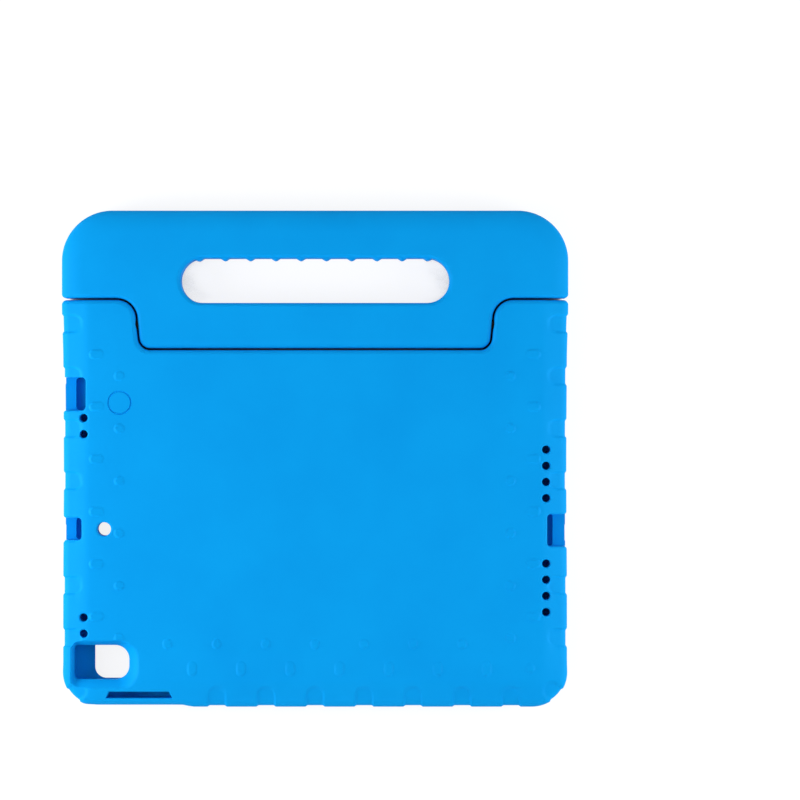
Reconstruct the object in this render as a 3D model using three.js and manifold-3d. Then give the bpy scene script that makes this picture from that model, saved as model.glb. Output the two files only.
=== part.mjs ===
// A foam case for a 10-inch class tablet, with a carrying handle that folds back as a stand.
// It lies on its front face: X runs along the handle, Y up to the handle, Z out of the back. Sizes are millimetres.

import * as THREE from 'three';
import { mergeVertices } from 'three/addons/utils/BufferGeometryUtils.js';
import Module from 'manifold-3d';

const wasm = await Module();
wasm.setup();

// The slab that case and handle are moulded in
const thickness = 25;
const topCornerRadius = 27.5;
const bottomCornerRadius = 20;
const backRoundWidth = 12;
const backRoundDepth = 7;
const frontRound = 5;

// The tablet that the bay is cut for, and the walls round it
const tabletLength = 250.6;
const tabletWidth = 174.1;
const tabletThickness = 7.5;
const tabletClearance = 0.4;
const bayCornerRadius = 9;
const sideWall = 12.3;
const bottomWall = 10;
const topWall = 10;

// The screen window: a bevel down to the lip that holds the tablet in
const rimRise = 3.5;
const lipThickness = 1.5;
const lipOverlap = 5;
const windowCornerRadius = 6.2;
const windowBevel = 4.5;

// The seam between the case and the handle's tab
const seamGap = 1.1;
const shoulderWidth = 41;
const shoulderRise = 26.7;
const shoulderCornerRadius = 9;
const tabCornerRadius = 5.7;
const handleEdgeRound = 2;
const bodyEdgeRound = 1;
const seamEndRound = 2;

// The handle above the shoulders, its grip hole and the finger ridges
const handleHeight = 48.25;
const gripBar = 26;
const gripLength = 146.4;
const gripHeight = 24.4;
const gripBackRound = 2;
const gripFrontRound = 4;
const ridgeCount = 10;
const ridgePitch = 13.75;
const ridgeDepth = 1.9;
const ridgeFrontInset = 7;
const ridgeBackInset = 2.5;
const ridgeRunOut = 2.5;

// The hinge: a pin keyed in each side of the tab, turning in a cup in each shoulder
const pivotRise = 12.75;
const pivotBelowBack = 5.5;
const pinRadius = 2.5;
const pinInHandle = 14;
const pinInCup = 9;
const pinHeadRadius = 4;
const pinHeadLength = 2.5;
const pinTip = 0.8;
const runningClearance = 0.25;
const endPlay = 0.5;
const cupWall = 1.1;
const cupFloor = 1.2;
const cupCollar = 0.7;
const cupCollarLength = 2;
const seatGap = 0.3;

// The camera cut-out, placed from the bay's corner at the bottom left of the back
const cameraOutsideBay = 6;
const cameraAboveBay = 5;
const cameraLength = 30.5;
const cameraHeight = 18.7;
const cameraOuterRadius = 2;
const cameraInnerRadius = 7.6;
const cameraFunnel = 5;
const cameraFunnelAbove = 2.5;
const cameraFunnelOuter = 1.5;
const cameraFunnelDepth = 6;

// The slot over the volume buttons, in the bottom wall
const volumeFromBayEnd = 13.2;
const volumeLength = 32.5;
const volumeFlank = 1.8;
const volumeBelowBay = 1.6;
const volumeSlotWidth = 3.5;

// The port notches in the side walls: middle height above the bottom, and width
const jackHeight = 170.5;
const jackWidth = 18;
const microphoneNotchHeight = 97;
const microphoneNotchWidth = 12.1;
const chargeHeight = 96.2;
const chargeWidth = 17.5;
const notchFloor = 9;
const portSlotWidth = 4.6;
const portSlotRadius = 2;

// The rows of speaker holes along the tablet's ends, and the rear microphone hole
const speakerHoleRadius = 2.2;
const speakerPitch = 8.8;
const chargeSideCount = 4;
const chargeSideLowRow = 51.8;
const chargeSideHighRow = 113.8;
const jackSideCount = 2;
const jackSideLowRow = 40.1;
const jackSideHighRow = 148.6;
const speakerFloor = 1;
const microphoneRadius = 3.7;
const microphoneRim = 1.2;
const microphoneFromBayEnd = 10.7;

// The round mark of the moulding gate
const gateRadius = 6.35;
const gateLine = 0.6;
const gateDepth = 0.5;
const gateFromSide = 31.4;
const gateHeight = 165.9;

// The grip grooves that wrap the edge
const grooveWidth = 9.4;
const grooveDepth = 0.9;
const grooveReach = 11;
const sideGrooves = 7;
const sideGroovePitch = 28.5;
const firstSideGroove = 37.7;
const bottomGroovesLeft = 2;
const bottomGroovesRight = 4;
const bottomGroovePitch = 26.7;
const cornerGrooveReach = 9;

// The raised nubs, two staggered lines inside the grooves
const nubRise = 0.6;
const nubWidth = 6.4;
const nubLength = 6.8;
const outerNubLength = 9.4;
const nubEdge = 0.6;
const sideNubInset = 31.7;
const sideOuterNubInset = 19.4;
const outerNubDrop = 2.4;
const bottomNubInset = 34.6;
const bottomOuterNubInset = 21.2;
const bottomNubsLeft = 3;
const bottomNubsRight = 3;
const cornerNubInset = 21;

// Smoothness of the curves
const cornerSteps = 5;
const edgeSteps = 3;
const holeSteps = 14;
const turnSteps = 20;

// How far a cut runs out past the face or the edge that it cuts
const overrun = 1;
const outside = 6;

// Places that follow from the sizes
const bayLength = tabletLength + 2 * tabletClearance;
const bayWidth = tabletWidth + 2 * tabletClearance;
const caseWidth = bayLength + 2 * sideWall;
const caseHeight = bottomWall + bayWidth + topWall + seamGap / 2 + shoulderRise + handleHeight;
const bottomY = -caseHeight / 2;
const topY = caseHeight / 2;
const bayEndX = bayLength / 2;
const bayBottomY = bottomY + bottomWall;
const bayTopY = bayBottomY + bayWidth;
const bayFrontZ = rimRise + lipThickness;
const bayBackZ = bayFrontZ + tabletThickness + tabletClearance;
const notchY = bayTopY + topWall + seamGap / 2;
const shoulderY = notchY + shoulderRise;
const tabX = caseWidth / 2 - shoulderWidth;
const pivotY = notchY + pivotRise;
const pivotZ = thickness - pivotBelowBack;
const gripTopY = topY - gripBar;

// A geometry as a solid that can be joined and cut
function solidOf(geometry) {
  const bare = geometry.clone();
  bare.deleteAttribute('normal');
  bare.deleteAttribute('uv');
  const merged = mergeVertices(bare, 1e-4);
  return new wasm.Manifold(new wasm.Mesh({
    numProp: 3,
    vertProperties: new Float32Array(merged.attributes.position.array),
    triVerts: new Uint32Array(merged.index.array),
  }));
}

// A solid back as a named mesh
function meshOf(name, solid, material) {
  const { vertProperties, triVerts } = solid.getMesh();
  const geometry = new THREE.BufferGeometry();
  geometry.setAttribute('position', new THREE.BufferAttribute(vertProperties, 3));
  geometry.setIndex(new THREE.BufferAttribute(triVerts, 1));
  geometry.computeVertexNormals();
  const mesh = new THREE.Mesh(geometry, material);
  mesh.name = name;
  return mesh;
}

// A solid lofted through flat rings; each ring is a height and a loop of points, counter-clockwise
function loft(rings) {
  const count = rings[0].loop.length;
  const position = rings.flatMap(({ z, loop }) => loop.flatMap(([x, y]) => [x, y, z]));
  const index = [];
  for (let ring = 0; ring + 1 < rings.length; ring += 1) {
    for (let i = 0; i < count; i += 1) {
      const here = ring * count + i;
      const next = ring * count + ((i + 1) % count);
      index.push(here, next, next + count, here, next + count, here + count);
    }
  }
  const capOf = ({ loop }) => THREE.ShapeUtils.triangulateShape(
    loop.map(([x, y]) => new THREE.Vector2(x, y)),
    [],
  );
  capOf(rings[0]).forEach(([a, b, c]) => index.push(a, c, b));
  const last = (rings.length - 1) * count;
  capOf(rings.at(-1)).forEach(([a, b, c]) => index.push(a + last, b + last, c + last));
  const geometry = new THREE.BufferGeometry();
  geometry.setAttribute('position', new THREE.Float32BufferAttribute(position, 3));
  geometry.setIndex(index);
  return solidOf(geometry);
}

// Points of an arc, both ends included; angles in degrees
function arc(x, y, radius, from, to, steps = cornerSteps) {
  return Array.from({ length: steps + 1 }, (_, i) => {
    const angle = THREE.MathUtils.degToRad(from + ((to - from) * i) / steps);
    return [x + radius * Math.cos(angle), y + radius * Math.sin(angle)];
  });
}

// A rounded rectangle, grown by an offset; the radii start at the bottom left and run counter-clockwise
function roundedRect([x0, y0, x1, y1], radii, grow = 0) {
  const [r0, r1, r2, r3] = radii;
  return [
    ...arc(x0 + r0, y0 + r0, r0 + grow, 180, 270),
    ...arc(x1 - r1, y0 + r1, r1 + grow, 270, 360),
    ...arc(x1 - r2, y1 - r2, r2 + grow, 0, 90),
    ...arc(x0 + r3, y1 - r3, r3 + grow, 90, 180),
  ];
}

function circle(x, y, radius) {
  return arc(x, y, radius, 0, 360, holeSteps).slice(1);
}

// A quarter round edge as steps of [share of the height, share of the width]; the first is on the face
function quarterRound(steps = edgeSteps) {
  return Array.from({ length: steps + 1 }, (_, i) => {
    const angle = (i / steps) * (Math.PI / 2);
    return [1 - Math.cos(angle), 1 - Math.sin(angle)];
  });
}

// Heights and offsets from the front face to the back face, with a round edge at both
function roundedEdges(frontWidth, frontDepth, backWidth, backDepth, steps) {
  const front = quarterRound(steps).map(([z, d]) => [z * frontDepth, d * frontWidth]);
  const back = quarterRound(steps).map(([z, d]) => [thickness - z * backDepth, d * backWidth]);
  return [...front, ...back.reverse()];
}

// A straight-sided cutter that runs out past both faces and takes their edges off as rounds
function flaredHole(loopAt, frontRadius, backRadius, steps) {
  const edges = roundedEdges(frontRadius, frontRadius, backRadius, backRadius, steps);
  const rings = edges.map(([z, grow]) => ({ z, loop: loopAt(grow) }));
  rings.unshift({ z: -overrun, loop: loopAt(frontRadius) });
  rings.push({ z: thickness + overrun, loop: loopAt(backRadius) });
  return loft(rings);
}

function prism(loop, z0, z1) {
  return loft([{ z: z0, loop }, { z: z1, loop }]);
}

// The whole slab with its round edges, or the same slab less a skin all over
function slab(skin) {
  const radii = [bottomCornerRadius, bottomCornerRadius, topCornerRadius, topCornerRadius];
  const bounds = [-caseWidth / 2, bottomY, caseWidth / 2, topY];
  const front = quarterRound().map(([up, inwards]) => ({
    z: skin + up * (frontRound - skin),
    inset: skin + inwards * (frontRound - skin),
  }));
  const back = quarterRound().map(([down, inwards]) => ({
    z: thickness - skin - down * (backRoundDepth - skin),
    inset: skin + inwards * (backRoundWidth - skin),
  }));
  const edges = [...front, ...back.reverse()];
  return loft(edges.map(({ z, inset }) => ({ z, loop: roundedRect(bounds, radii, -inset) })));
}

// The seam from the left edge to the right one, moved towards the handle, or towards the case if negative
function seamLine(shift) {
  const side = Math.sign(shift);
  const level = shoulderY + shift;
  const endX = caseWidth / 2 - seamEndRound;
  const endArc = arc(0, level + side * seamEndRound, seamEndRound, -90 * side, -45 * side, edgeSteps);
  const right = [
    ...arc(tabX - tabCornerRadius, notchY + tabCornerRadius, tabCornerRadius - shift, 270, 360),
    ...arc(tabX + shoulderCornerRadius, shoulderY - shoulderCornerRadius, shoulderCornerRadius + shift, 180, 90),
    ...endArc.map(([x, y]) => [endX + x, y]),
  ];
  const [lastX, lastY] = right.at(-1);
  right.push([lastX + outside, lastY + side * outside]);
  const left = right.map(([x, y]) => [-x, y]).reverse();
  return [...left, ...right];
}

// The share of the slab on one side of the seam, with the seam's edges rounded on both faces
function seamSide(side, edgeRound) {
  const edges = roundedEdges(edgeRound, edgeRound, edgeRound, edgeRound, 3);
  edges.unshift([-overrun, edgeRound]);
  edges.push([thickness + overrun, edgeRound]);
  const farY = side > 0 ? topY + outside : bottomY - outside;
  const farX = caseWidth / 2 + 2 * outside;
  return loft(edges.map(([z, recess]) => {
    const line = seamLine(side * (seamGap / 2 + recess));
    const loop = [...line, [farX, line.at(-1)[1]], [farX, farY], [-farX, farY], [-farX, line[0][1]]];
    return { z, loop: side > 0 ? loop : loop.reverse() };
  }));
}

// One finger ridge: what two neighbouring finger scallops leave between them
function ridge(x) {
  const lobe = (depth) => {
    const half = ridgePitch / 2;
    const radius = (half * half + depth * depth) / (2 * depth);
    const span = THREE.MathUtils.radToDeg(Math.asin(half / radius));
    const leftSide = arc(x - half, gripTopY - radius, radius, 90, 90 - span, edgeSteps);
    const rightSide = arc(x + half, gripTopY - radius, radius, 90 + span, 90, edgeSteps);
    const root = gripTopY + overrun;
    return [...leftSide, ...rightSide.slice(1), [x + half, root], [x - half, root]];
  };
  const shallow = ridgeDepth / 8;
  return loft([
    { z: ridgeFrontInset, loop: lobe(shallow) },
    { z: ridgeFrontInset + ridgeRunOut, loop: lobe(ridgeDepth) },
    { z: thickness - ridgeBackInset - ridgeRunOut, loop: lobe(ridgeDepth) },
    { z: thickness - ridgeBackInset, loop: lobe(shallow) },
  ]);
}

// A turned solid on the hinge axis; its profile is [distance along the axis, radius], from the tab outwards
function turned(profile, side) {
  const points = profile.map(([along, radius]) => new THREE.Vector2(radius, along));
  const geometry = new THREE.LatheGeometry(points, turnSteps);
  geometry.rotateZ(-Math.PI / 2);
  geometry.translate(tabX - seamGap / 2, 0, 0);
  if (side < 0) geometry.rotateZ(Math.PI);
  geometry.translate(0, pivotY, pivotZ);
  return solidOf(geometry);
}

// The pin's profile, grown all over by a gap for the hole that it sits in
function pinProfile(gap) {
  const inner = -pinInHandle - gap;
  const headEnd = -pinInHandle + pinHeadLength + gap;
  const tip = seamGap + pinInCup;
  return [
    [inner, 0],
    [inner, pinHeadRadius + gap],
    [headEnd, pinHeadRadius + gap],
    [headEnd, pinRadius + gap],
    [tip - pinTip, pinRadius + gap],
    [tip, pinRadius - pinTip + gap],
    [tip, 0],
  ];
}

const cupRadius = pinRadius + runningClearance + cupWall;
const cupStart = seamGap + seatGap;
const cupHollowEnd = seamGap + pinInCup + endPlay;
const cupEnd = cupHollowEnd + cupFloor;

// The outside of the cup, grown all over by a gap for the hole that it sits in
function cupOutside(gap) {
  return [
    [cupEnd - cupCollarLength - gap, cupRadius + gap],
    [cupEnd - cupCollarLength - gap, cupRadius + cupCollar + gap],
    [cupEnd + gap, cupRadius + cupCollar + gap],
    [cupEnd + gap, 0],
  ];
}

function cupProfile() {
  const bore = pinRadius + runningClearance;
  return [[cupHollowEnd, 0], [cupHollowEnd, bore], [cupStart, bore], [cupStart, cupRadius], ...cupOutside(0)];
}

function cupHole() {
  return [[0, 0], [0, cupRadius + seatGap], ...cupOutside(seatGap)];
}

// The tablet bay and the bevelled window in front of it
function bayCut() {
  const bay = [-bayEndX, bayBottomY, bayEndX, bayTopY];
  const window = [bay[0] + lipOverlap, bay[1] + lipOverlap, bay[2] - lipOverlap, bay[3] - lipOverlap];
  const windowRadii = Array(4).fill(windowCornerRadius);
  const opening = loft([
    { z: -overrun, loop: roundedRect(window, windowRadii, windowBevel) },
    { z: 0, loop: roundedRect(window, windowRadii, windowBevel) },
    { z: rimRise, loop: roundedRect(window, windowRadii) },
    { z: bayFrontZ + overrun, loop: roundedRect(window, windowRadii) },
  ]);
  return opening.add(prism(roundedRect(bay, Array(4).fill(bayCornerRadius)), bayFrontZ, bayBackZ));
}

// The camera cut-out with its funnel, wider towards the middle and below
function cameraCut() {
  const x0 = -bayEndX - cameraOutsideBay;
  const y0 = bayBottomY + cameraAboveBay;
  const hole = [x0, y0, x0 + cameraLength, y0 + cameraHeight];
  const radii = [cameraOuterRadius, cameraInnerRadius, cameraInnerRadius, cameraOuterRadius];
  const grow = [-cameraFunnelOuter, -cameraFunnel, cameraFunnel, cameraFunnelAbove];
  const wide = roundedRect(hole.map((v, i) => v + grow[i]), radii.map((r) => r + cameraFunnelAbove));
  return loft([
    { z: bayFrontZ, loop: roundedRect(hole, radii) },
    { z: thickness - cameraFunnelDepth, loop: roundedRect(hole, radii) },
    { z: thickness, loop: wide },
    { z: thickness + overrun, loop: wide },
  ]);
}

// The slot over the volume buttons: a trapezium from the back, and a pocket from it to the bay
function volumeCut() {
  const x0 = -bayEndX + volumeFromBayEnd;
  const x1 = x0 + volumeLength;
  const inner = bayBottomY - volumeBelowBay;
  const outer = inner - volumeSlotWidth;
  const slot = [[x0 - volumeFlank, outer], [x1 + volumeFlank, outer], [x1, inner], [x0, inner]];
  const low = inner - overrun;
  const high = bayBottomY + overrun;
  const pocket = [[x0, low], [x1, low], [x1, high], [x0, high]];
  return prism(slot, bayFrontZ, thickness + overrun).add(prism(pocket, bayFrontZ, bayBackZ));
}

// A port notch, open to the side and the back, with a deeper slot against the tablet
function portCut(side, height, width) {
  const low = bottomY + height - width / 2;
  const high = low + width;
  const slotX = bayEndX + portSlotWidth;
  const radii = Array(4).fill(portSlotRadius);
  const place = (x0, x1) => (side > 0 ? [x0, low, x1, high] : [-x1, low, -x0, high]);
  const slot = roundedRect(place(bayEndX - overrun, slotX + portSlotRadius), radii);
  const [x0, , x1] = place(slotX, caseWidth / 2 + outside);
  const notch = [[x0, low], [x1, low], [x1, high], [x0, high]];
  return prism(notch, notchFloor, thickness + overrun).add(prism(slot, bayFrontZ, thickness + overrun));
}

// A row of speaker holes along the end of the tablet
function speakerRow(side, first, count) {
  return Array.from({ length: count }, (_, i) => {
    const loop = circle(side * bayEndX, bottomY + first + i * speakerPitch, speakerHoleRadius);
    return prism(loop, bayFrontZ + speakerFloor, thickness + overrun);
  });
}

function microphoneCut() {
  const x = -bayEndX + microphoneFromBayEnd;
  const y = bottomY + microphoneNotchHeight;
  return loft([
    { z: bayBackZ - overrun, loop: circle(x, y, microphoneRadius) },
    { z: thickness - microphoneRim, loop: circle(x, y, microphoneRadius) },
    { z: thickness, loop: circle(x, y, microphoneRadius + microphoneRim) },
    { z: thickness + overrun, loop: circle(x, y, microphoneRadius + microphoneRim) },
  ]);
}

// The thin circle that the moulding gate leaves
function gateCut() {
  const profile = [
    [gateRadius - gateLine, overrun],
    [gateRadius - gateLine / 2, -gateDepth],
    [gateRadius, overrun],
    [gateRadius - gateLine, overrun],
  ];
  const geometry = new THREE.LatheGeometry(profile.map(([x, y]) => new THREE.Vector2(x, y)), turnSteps);
  geometry.rotateX(Math.PI / 2);
  geometry.translate(-caseWidth / 2 + gateFromSide, bottomY + gateHeight, thickness);
  return solidOf(geometry);
}

const sideGrooveY = Array.from({ length: sideGrooves }, (_, i) => bottomY + firstSideGroove + i * sideGroovePitch);
const bottomGrooveX = Array.from(
  { length: bottomGroovesLeft + bottomGroovesRight + 1 },
  (_, i) => (i - bottomGroovesLeft) * bottomGroovePitch,
);

// A pill that starts outside the edge and ends with a round end inside it, pointing at an angle
function groovePill(x, y, angle, reach) {
  const radius = grooveWidth / 2;
  const pill = roundedRect([-outside, -radius, reach, radius], [radius, radius, radius, radius]);
  const turn = THREE.MathUtils.degToRad(angle);
  const loop = pill.map(([u, v]) => [
    x + u * Math.cos(turn) - v * Math.sin(turn),
    y + u * Math.sin(turn) + v * Math.cos(turn),
  ]);
  return prism(loop, -overrun, thickness + overrun);
}

// All grip grooves: the pills, kept off everything deeper than the groove
function grooveCut() {
  const edgeX = caseWidth / 2;
  const cornerX = edgeX - bottomCornerRadius * (1 - Math.SQRT1_2);
  const cornerY = bottomY + bottomCornerRadius * (1 - Math.SQRT1_2);
  const pills = [
    ...sideGrooveY.map((y) => groovePill(-edgeX, y, 0, grooveReach)),
    ...sideGrooveY.map((y) => groovePill(edgeX, y, 180, grooveReach)),
    ...bottomGrooveX.map((x) => groovePill(x, bottomY, 90, grooveReach)),
    groovePill(-cornerX, cornerY, 45, cornerGrooveReach),
    groovePill(cornerX, cornerY, 135, cornerGrooveReach),
  ];
  return wasm.Manifold.union(pills).subtract(slab(grooveDepth));
}

// One nub: a low oval button with a bevelled edge, long along X or along Y
function nub(x, y, lengthX, lengthY) {
  const round = Math.min(lengthX, lengthY) / 2;
  const oval = (grow) => roundedRect(
    [x - lengthX / 2, y - lengthY / 2, x + lengthX / 2, y + lengthY / 2],
    Array(4).fill(round),
    grow,
  );
  return loft([
    { z: thickness - nubRise, loop: oval(0) },
    { z: thickness, loop: oval(0) },
    { z: thickness + nubRise, loop: oval(-nubEdge) },
  ]);
}

// Two staggered lines of nubs down each side, two along the bottom and one in each free corner
function nubs() {
  const innerX = caseWidth / 2 - sideNubInset;
  const outerX = caseWidth / 2 - sideOuterNubInset;
  const innerY = bottomY + bottomNubInset;
  const outerY = bottomY + bottomOuterNubInset;
  const outerShift = sideGroovePitch / 2 - outerNubDrop;
  const sides = [-1, 1].flatMap((side) => sideGrooveY.slice(0, -1).flatMap((y) => [
    nub(side * innerX, y, nubLength, nubWidth),
    nub(side * outerX, y + outerShift, outerNubLength, nubWidth),
  ]));
  const count = bottomNubsLeft + bottomNubsRight + 1;
  const bottom = Array.from({ length: count }, (_, i) => (i - bottomNubsLeft) * bottomGroovePitch).flatMap((x) => [
    nub(x, innerY, nubWidth, nubLength),
    nub(x + bottomGroovePitch / 2, outerY, nubWidth, outerNubLength),
  ]);
  return [...sides, ...bottom, nub(caseWidth / 2 - cornerNubInset, outerY, nubWidth, nubWidth)];
}

// The foam body of the case
function caseBody(material) {
  const cuts = [
    bayCut(),
    cameraCut(),
    volumeCut(),
    portCut(-1, jackHeight, jackWidth),
    portCut(-1, microphoneNotchHeight, microphoneNotchWidth),
    portCut(1, chargeHeight, chargeWidth),
    ...speakerRow(1, chargeSideLowRow, chargeSideCount),
    ...speakerRow(1, chargeSideHighRow, chargeSideCount),
    ...speakerRow(-1, jackSideLowRow, jackSideCount),
    ...speakerRow(-1, jackSideHighRow, jackSideCount),
    microphoneCut(),
    gateCut(),
    grooveCut(),
    turned(cupHole(), 1),
    turned(cupHole(), -1),
  ];
  const body = slab(0).intersect(seamSide(-1, bodyEdgeRound)).add(wasm.Manifold.union(nubs()));
  return meshOf('case_body', body.subtract(wasm.Manifold.union(cuts)), material);
}

// The foam handle with its tab, grip hole and finger ridges
function handle(material) {
  const radius = gripHeight / 2;
  const grip = [-gripLength / 2, gripTopY - gripHeight, gripLength / 2, gripTopY];
  const hole = flaredHole((grow) => roundedRect(grip, Array(4).fill(radius), grow), gripFrontRound, gripBackRound, 3);
  const first = (-ridgePitch * (ridgeCount - 1)) / 2;
  const ridges = Array.from({ length: ridgeCount }, (_, i) => ridge(first + i * ridgePitch));
  const pinHoles = [1, -1].map((side) => turned(pinProfile(seatGap), side));
  const solid = slab(0)
    .intersect(seamSide(1, handleEdgeRound))
    .subtract(hole)
    .add(wasm.Manifold.union(ridges))
    .subtract(wasm.Manifold.union(pinHoles));
  return meshOf('handle', solid, material);
}

const foam = () => new THREE.MeshStandardMaterial({ color: 0x0a9be8, roughness: 0.6, metalness: 0 });
const nylon = () => new THREE.MeshStandardMaterial({ color: 0x24272c, roughness: 0.4, metalness: 0 });

const part = new THREE.Group();
part.add(
  caseBody(foam()),
  handle(foam()),
  meshOf('hinge_pin_left', turned(pinProfile(0), -1), nylon()),
  meshOf('hinge_pin_right', turned(pinProfile(0), 1), nylon()),
  meshOf('hinge_cup_left', turned(cupProfile(), -1), nylon()),
  meshOf('hinge_cup_right', turned(cupProfile(), 1), nylon()),
);

export default part;
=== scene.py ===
# %% [markdown]
# A foam tablet case in Blender
#
# The object is a thick foam case for a 10-inch class tablet, lying on its front. Its carrying handle
# is a second moulding that folds back on a hidden hinge and becomes a stand. Both are moulded in one
# soft rounded slab, so nearly all of the look is in rounded edges, cut-outs and one matt blue finish.
#
# The CAD model comes in first and stays where it is. Every shape below is worked out in millimetres
# with numpy and put into a mesh in metres, in the CAD model's own place.

import bpy
import numpy as np
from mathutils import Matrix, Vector


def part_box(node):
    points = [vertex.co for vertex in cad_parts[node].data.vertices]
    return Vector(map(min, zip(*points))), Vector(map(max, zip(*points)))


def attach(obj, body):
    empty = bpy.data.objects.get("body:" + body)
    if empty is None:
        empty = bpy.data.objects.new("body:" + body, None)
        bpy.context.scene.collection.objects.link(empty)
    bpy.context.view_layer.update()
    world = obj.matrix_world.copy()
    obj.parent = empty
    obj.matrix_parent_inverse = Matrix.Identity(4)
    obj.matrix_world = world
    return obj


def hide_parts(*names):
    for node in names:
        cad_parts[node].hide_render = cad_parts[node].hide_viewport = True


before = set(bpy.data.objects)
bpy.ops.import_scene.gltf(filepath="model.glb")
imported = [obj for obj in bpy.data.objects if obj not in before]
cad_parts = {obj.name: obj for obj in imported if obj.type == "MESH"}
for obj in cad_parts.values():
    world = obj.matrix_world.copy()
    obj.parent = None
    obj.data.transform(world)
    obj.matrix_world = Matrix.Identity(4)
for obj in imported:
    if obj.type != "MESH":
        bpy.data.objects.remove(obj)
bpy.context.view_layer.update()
MM = 0.001
print("CAD nodes:", sorted(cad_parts))

# %% [markdown]
# The driving sizes are the ones that the case was designed with: the slab, the tablet and the walls
# round it, and the stepped seam between case and handle. Everything else is placed from them, so one
# changed wall moves all that stands on it. The slab's width and height are read from the frame, which
# keeps the looks and the CAD model together.

# %% Driving sizes in millimetres
case_box, handle_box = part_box("case_body"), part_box("handle")
half_width = round(case_box[1].x / MM, 3)
bottom_y = round(case_box[0].y / MM, 3)
top_y = round(handle_box[1].y / MM, 3)

thickness = 25
top_corner_radius = 27.5
bottom_corner_radius = 20
front_round = 5
shoulder_depth = 7
crown_width = 32
handle_crown_width = 46

side_wall = 12.3
bottom_wall = 10
bay_width = 174.9
bay_front_z = 5
bay_back_z = 12.9
bay_corner_radius = 9
bay_end_x = half_width - side_wall
bay_bottom_y = bottom_y + bottom_wall
bay_top_y = bay_bottom_y + bay_width

seam_gap = 1.1
handle_height = 48.25
shoulder_rise = 26.7
shoulder_width = 41
shoulder_y = top_y - handle_height
notch_y = shoulder_y - shoulder_rise
tab_x = half_width - shoulder_width
print("Slab:", 2 * half_width, "x", round(top_y - bottom_y, 2), "x", thickness, "mm")

# %% [markdown]
# Most outlines are rounded rectangles. One is made of four arcs, and a loop of points can be made finer
# afterwards by cutting each of its straight sides in equal parts. Growing the arcs' radii moves the whole
# outline outwards by the same distance, which is how a hole gets a rounded or a sloping edge.

# %% Outlines
def arc(x, y, radius, start, end, steps):
    """Points on a circle round (x, y), the angle running evenly from start to end in degrees."""
    angle = np.radians(np.linspace(start, end, steps + 1))
    return np.column_stack([x + radius * np.cos(angle), y + radius * np.sin(angle)])


def rounded_rectangle(box, radii, grow=0.0, steps=8):
    """Four quarter arcs, counter-clockwise from the bottom left; grow is added to each radius."""
    x0, y0, x1, y1 = box
    r0, r1, r2, r3 = radii
    return np.concatenate([
        arc(x0 + r0, y0 + r0, r0 + grow, 180, 270, steps),
        arc(x1 - r1, y0 + r1, r1 + grow, 270, 360, steps),
        arc(x1 - r2, y1 - r2, r2 + grow, 0, 90, steps),
        arc(x0 + r3, y1 - r3, r3 + grow, 90, 180, steps),
    ])


def circle(x, y, radius, steps=32):
    """One turn of an arc, without the point that would be there twice."""
    return arc(x, y, radius, 0, 360, steps)[1:]


def parts_of(loop, spacing):
    """Into how many parts each side of the loop is cut, so that none is longer than spacing."""
    length = np.linalg.norm(np.roll(loop, -1, axis=0) - loop, axis=1)
    return np.maximum(1, np.ceil(length / spacing - 1e-6)).astype(int)


def finer(loop, parts):
    """Each side of the loop cut in equal parts: point = start + share * (end - start)."""
    start = np.repeat(loop, parts, axis=0)
    end = np.repeat(np.roll(loop, -1, axis=0), parts, axis=0)
    before = np.repeat(np.cumsum(parts) - parts, parts)
    share = (np.arange(parts.sum()) - before) / np.repeat(parts, parts)
    return start + share[:, None] * (end - start)


def smooth_step(share):
    """0 below 0, 1 above 1, and 3 s^2 - 2 s^3 in between."""
    share = np.clip(share, 0, 1)
    return share * share * (3 - 2 * share)


# %% [markdown]
# A shape worked out as rings needs only one way into Blender: a grid of points, each row a closed loop,
# joined to the next row by quads, with one flat face on each end. Several such shells can share a mesh,
# which lets one Boolean modifier cut all the holes that don't touch each other.

# %% Rings into a mesh
def level(loop, z):
    """A loop of plan points as one ring, at one height or at a height for each point."""
    return np.column_stack([loop, np.broadcast_to(z, len(loop))])


def shell(rings):
    """Points and faces through rings, an array of levels x points x 3, lowest ring first."""
    rings = np.asarray(rings, float)
    levels, count, _ = rings.shape
    index = np.arange(levels * count).reshape(levels, count)
    low, high = index[:-1], index[1:]
    quads = np.stack([low, np.roll(low, -1, 1), np.roll(high, -1, 1), high], axis=-1)
    ends = [index[0, ::-1].tolist(), index[-1].tolist()]
    return rings.reshape(-1, 3), quads.reshape(-1, 4).tolist() + ends


def mesh_of(name, shells):
    """One mesh object from several closed shells, millimetres in and metres out."""
    points, faces, first = [], [], 0
    for shell_points, shell_faces in shells:
        points.append(shell_points)
        faces += [[first + i for i in face] for face in shell_faces]
        first += len(shell_points)
    mesh = bpy.data.meshes.new(name)
    mesh.from_pydata(np.concatenate(points) * MM, [], faces)
    mesh.update()
    obj = bpy.data.objects.new(name, mesh)
    bpy.context.scene.collection.objects.link(obj)
    return obj


# %% [markdown]
# The slab is the shape that both mouldings share. Cut through anywhere, its edge shows the same section:
# a round of 5 mm at the front, a short upright wall, a shoulder and a barely crowned back. The case's
# shoulder is a soft bevel, and the handle's is rounder and runs out further in. The section is a line of
# (inset from the outline, height) pairs, carried round the outline.

# %% The slab's section
bevel_width = 14
bevel_slope = 0.27
bevel_ease = 0.9
edge_width = 4
case_crown_depth = 0.5
handle_shoulder_width = 12
handle_crown_depth = 1.5
front_reach = 17
bevel_end = 18
back_spacing = 3


def quarter_ellipse(inset, width, depth):
    """What a rounded edge takes off: all of its depth at the outline, nothing from its width inwards."""
    share = np.clip(1 - np.maximum(inset, 0) / width, 0, 1)
    return depth * (1 - np.sqrt(1 - share * share))


def crown_drop(inset, width, depth):
    """What a crown takes off: an S-curve from its depth at the outline to nothing at its width."""
    return depth * (1 - smooth_step(inset / width))


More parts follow.
